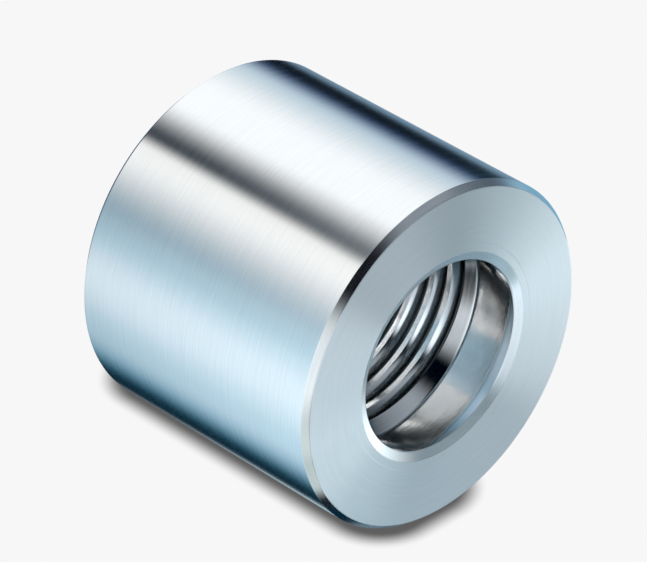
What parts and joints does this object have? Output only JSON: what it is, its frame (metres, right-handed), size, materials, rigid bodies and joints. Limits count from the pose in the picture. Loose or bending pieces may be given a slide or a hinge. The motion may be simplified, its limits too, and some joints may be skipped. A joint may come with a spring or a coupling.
{
  "type": "weld-on adapter",
  "caption": "Short turned steel sleeve with a parallel pipe-thread bore behind an open sealing lip, welded into a vessel or pipe wall to take a screw-in sensor.",
  "frame": {"origin": "centre of the rear face, where the sleeve stands", "axes": "+Z along the bore axis from the rear (sensor) face to the process (lip) face; X and Y are free, since the sleeve is round"},
  "size_m": [0.03, 0.03, 0.026],
  "materials": {
    "turned_steel": "fine turned, satin with bright chamfers"
  },
  "bodies": {
    "root": {"adapter_sleeve": "turned_steel"}
  },
  "joints": []
}
